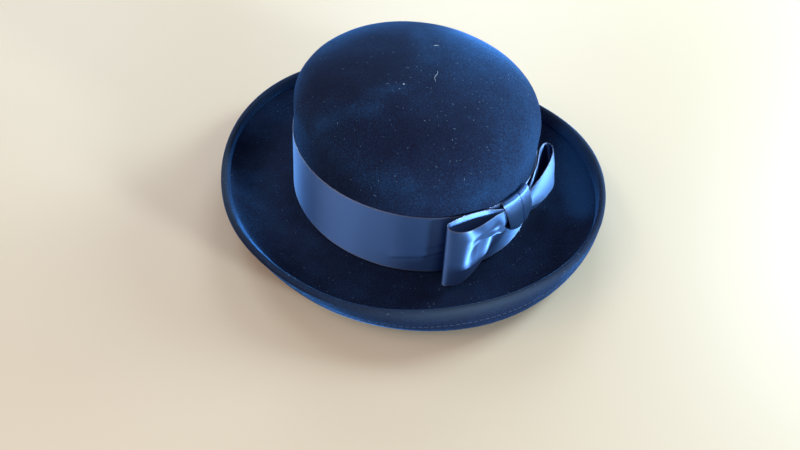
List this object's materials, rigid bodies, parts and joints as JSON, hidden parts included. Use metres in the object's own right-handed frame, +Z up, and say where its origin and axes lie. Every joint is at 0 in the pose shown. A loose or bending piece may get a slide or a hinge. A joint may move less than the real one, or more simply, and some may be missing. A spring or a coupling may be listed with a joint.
{
  "type": "cloche hat",
  "caption": "Women's navy felt hat with a round crown, a brim turned up all round with a sewn edge, and a blue satin ribbon band with a flat bow.",
  "frame": {"origin": "on the surface that the hat rests on, under the middle of the hat's outline", "axes": "+Z up, from the resting surface to the crown's tip; -Y to the front of the hat; +X to the wearer's left"},
  "size_m": [0.281, 0.306, 0.1101],
  "materials": {
    "navy_felt": "brushed wool velour felt",
    "blue_satin": "satin ribbon, glossy along its width"
  },
  "bodies": {
    "root": {"felt_body": "navy_felt", "ribbon_band": "blue_satin", "bow_loop_left": "blue_satin", "bow_loop_right": "blue_satin", "bow_knot": "blue_satin"}
  },
  "joints": []
}
